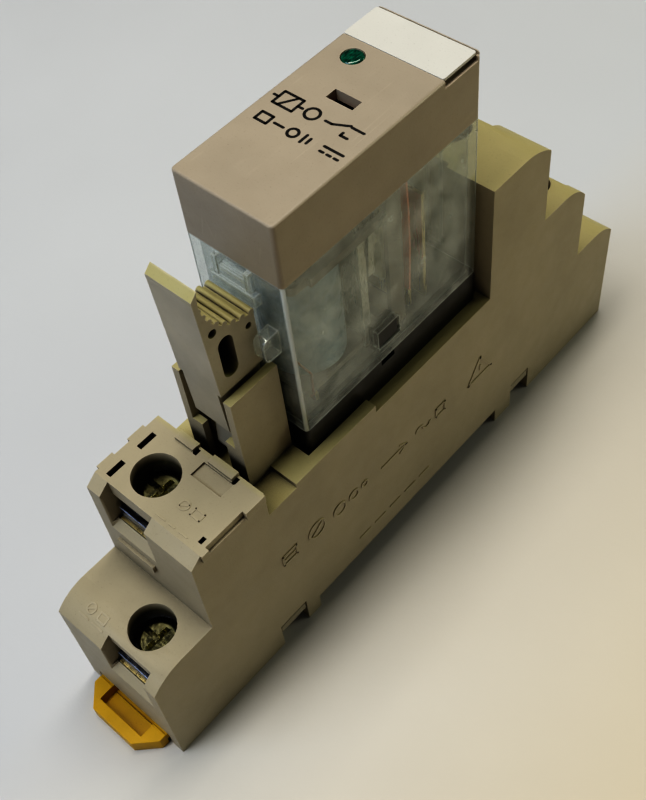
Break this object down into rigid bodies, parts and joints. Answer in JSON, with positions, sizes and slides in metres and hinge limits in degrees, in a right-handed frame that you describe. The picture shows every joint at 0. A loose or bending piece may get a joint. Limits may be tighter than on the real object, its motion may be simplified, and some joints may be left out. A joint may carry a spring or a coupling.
{
  "type": "plug-in control relay with rail socket",
  "caption": "Slim plug-in control relay with a clear case and tan cap, seated in a stepped screw-terminal socket with a release lever and a yellow sprung rail latch.",
  "frame": {"origin": "centre of the face that rests on the mounting rail, midway across the width and midway between the rail hooks", "axes": "+Z away from the rail towards the relay's cap, +Y along the length towards the end with three terminals, +X across the narrow width"},
  "size_m": [0.0165, 0.089, 0.0626],
  "materials": {
    "socket_plastic": "fine matt moulded grey-beige plastic",
    "cover_plastic": "matt moulded grey-beige plastic",
    "lever_plastic": "matt moulded grey-beige plastic",
    "latch_yellow": "satin yellow plastic",
    "base_black": "satin black plastic",
    "clear_case": "clear glossy polycarbonate",
    "cap_plastic": "fine matt grey-beige plastic",
    "label_white": "smooth off-white plastic",
    "lens_green": "clear dark green plastic",
    "board_green": "solder mask",
    "component_black": "epoxy",
    "bobbin_plastic": "brown-grey moulded plastic",
    "winding_copper": "enamelled copper wire",
    "coil_tape": "blue-grey insulating tape",
    "core_iron": "zinc-plated soft iron",
    "yoke_steel": "zinc-plated soft iron",
    "spring_steel": "stainless leaf",
    "card_cream": "cream moulded plastic",
    "flag_orange": "orange moulded plastic",
    "leaf_copper": "bright copper alloy leaf",
    "contact_silver": "silver alloy",
    "terminal_brass": "tinned brass",
    "strip_brass": "nickel-plated brass",
    "clamp_steel": "bright zinc-plated steel",
    "screw_steel": "bright zinc-plated steel"
  },
  "bodies": {
    "socket": {"socket_housing": "socket_plastic", "rear_cover": "cover_plastic", "latch_spring": "latch_yellow", "strip_coil_a": "strip_brass", "strip_coil_b": "strip_brass", "strip_nc": "strip_brass", "strip_no": "strip_brass", "strip_com": "strip_brass"},
    "release_lever": {"release_lever": "lever_plastic"},
    "rail_latch": {"rail_latch": "latch_yellow"},
    "relay": {"relay_base": "base_black", "relay_case": "clear_case", "relay_cap": "cap_plastic", "nameplate": "label_white", "led_lens": "lens_green", "led_board": "board_green", "board_parts": "component_black", "coil_bobbin": "bobbin_plastic", "coil_winding": "winding_copper", "coil_tape": "coil_tape", "core": "core_iron", "yoke": "yoke_steel", "hinge_spring": "spring_steel", "com_terminal": "terminal_brass", "no_terminal": "terminal_brass", "nc_terminal": "terminal_brass", "no_contact": "contact_silver", "nc_contact": "contact_silver", "coil_terminal_a": "terminal_brass", "coil_terminal_b": "terminal_brass", "coil_leads": "winding_copper"},
    "armature": {"armature": "yoke_steel"},
    "actuator_card": {"actuator_card": "card_cream", "indicator_flag": "flag_orange"},
    "contact_leaf": {"moving_spring": "leaf_copper", "moving_contacts": "contact_silver"},
    "clamp_coil_a": {"clamp_coil_a": "clamp_steel"},
    "screw_coil_a": {"screw_coil_a": "screw_steel"},
    "clamp_coil_b": {"clamp_coil_b": "clamp_steel"},
    "screw_coil_b": {"screw_coil_b": "screw_steel"},
    "clamp_nc": {"clamp_nc": "clamp_steel"},
    "screw_nc": {"screw_nc": "screw_steel"},
    "clamp_no": {"clamp_no": "clamp_steel"},
    "screw_no": {"screw_no": "screw_steel"},
    "clamp_com": {"clamp_com": "clamp_steel"},
    "screw_com": {"screw_com": "screw_steel"}
  },
  "joints": [
    {"name": "relay_lift", "type": "slide", "parent": "socket", "child": "relay", "axis": [0, 0, 1], "range_m": [0, 0.014]},
    {"name": "lever_swing", "type": "hinge", "parent": "socket", "child": "release_lever", "pos_m": [0, -0.0186, 0.0286], "axis": [1, 0, 0], "range_deg": [0, 25]},
    {"name": "rail_latch_slide", "type": "slide", "parent": "socket", "child": "rail_latch", "axis": [0, -1, 0], "range_m": [0, 0.003], "stiffness_N_per_m": 300, "springref_m": -0.003, "deforming": ["latch_spring"]},
    {"name": "armature_pull_in", "type": "hinge", "parent": "relay", "child": "armature", "pos_m": [0, -0.0016, 0.05], "axis": [1, 0, 0], "range_deg": [0, 4.5], "stiffness_Nm_per_rad": 0.01, "springref_deg": -4.58},
    {"name": "card_push", "type": "slide", "parent": "relay", "child": "actuator_card", "axis": [0, 1, 0], "range_m": [0, 0.000431]},
    {"name": "contact_leaf_flex", "type": "hinge", "parent": "relay", "child": "contact_leaf", "pos_m": [0, 0.005, 0.0336], "axis": [1, 0, 0], "range_deg": [-2.6, 0]},
    {"name": "clamp_coil_a_rise", "type": "slide", "parent": "socket", "child": "clamp_coil_a", "axis": [0, 0, 1], "range_m": [0, 0.0015]},
    {"name": "screw_coil_a_turn", "type": "hinge", "parent": "clamp_coil_a", "child": "screw_coil_a", "pos_m": [-0.0025, -0.0282, 0.0267], "axis": [0, 0, 1], "range_deg": [0, 1081]},
    {"name": "clamp_coil_b_rise", "type": "slide", "parent": "socket", "child": "clamp_coil_b", "axis": [0, 0, 1], "range_m": [0, 0.0015]},
    {"name": "screw_coil_b_turn", "type": "hinge", "parent": "clamp_coil_b", "child": "screw_coil_b", "pos_m": [0.0027, -0.0376, 0.0129], "axis": [0, 0, 1], "range_deg": [0, 1081]},
    {"name": "clamp_nc_rise", "type": "slide", "parent": "socket", "child": "clamp_nc", "axis": [0, 0, 1], "range_m": [0, 0.0015]},
    {"name": "screw_nc_turn", "type": "hinge", "parent": "clamp_nc", "child": "screw_nc", "pos_m": [-0.0025, 0.0206, 0.0391], "axis": [0, 0, 1], "range_deg": [0, 1081]},
    {"name": "clamp_no_rise", "type": "slide", "parent": "socket", "child": "clamp_no", "axis": [0, 0, 1], "range_m": [0, 0.0015]},
    {"name": "screw_no_turn", "type": "hinge", "parent": "clamp_no", "child": "screw_no", "pos_m": [0.0025, 0.0299, 0.0264], "axis": [0, 0, 1], "range_deg": [0, 1081]},
    {"name": "clamp_com_rise", "type": "slide", "parent": "socket", "child": "clamp_com", "axis": [0, 0, 1], "range_m": [0, 0.0015]},
    {"name": "screw_com_turn", "type": "hinge", "parent": "clamp_com", "child": "screw_com", "pos_m": [-0.0025, 0.0382, 0.0131], "axis": [0, 0, 1], "range_deg": [0, 1081]}
  ],
  "couplings": [
    {"joint": "armature_pull_in", "follows": "card_push", "rad_per_m": 181.82},
    {"joint": "contact_leaf_flex", "follows": "card_push", "rad_per_m": -91.743},
    {"joint": "screw_coil_a_turn", "follows": "clamp_coil_a_rise", "rad_per_m": 12566},
    {"joint": "screw_coil_b_turn", "follows": "clamp_coil_b_rise", "rad_per_m": 12566},
    {"joint": "screw_nc_turn", "follows": "clamp_nc_rise", "rad_per_m": 12566},
    {"joint": "screw_no_turn", "follows": "clamp_no_rise", "rad_per_m": 12566},
    {"joint": "screw_com_turn", "follows": "clamp_com_rise", "rad_per_m": 12566}
  ]
}
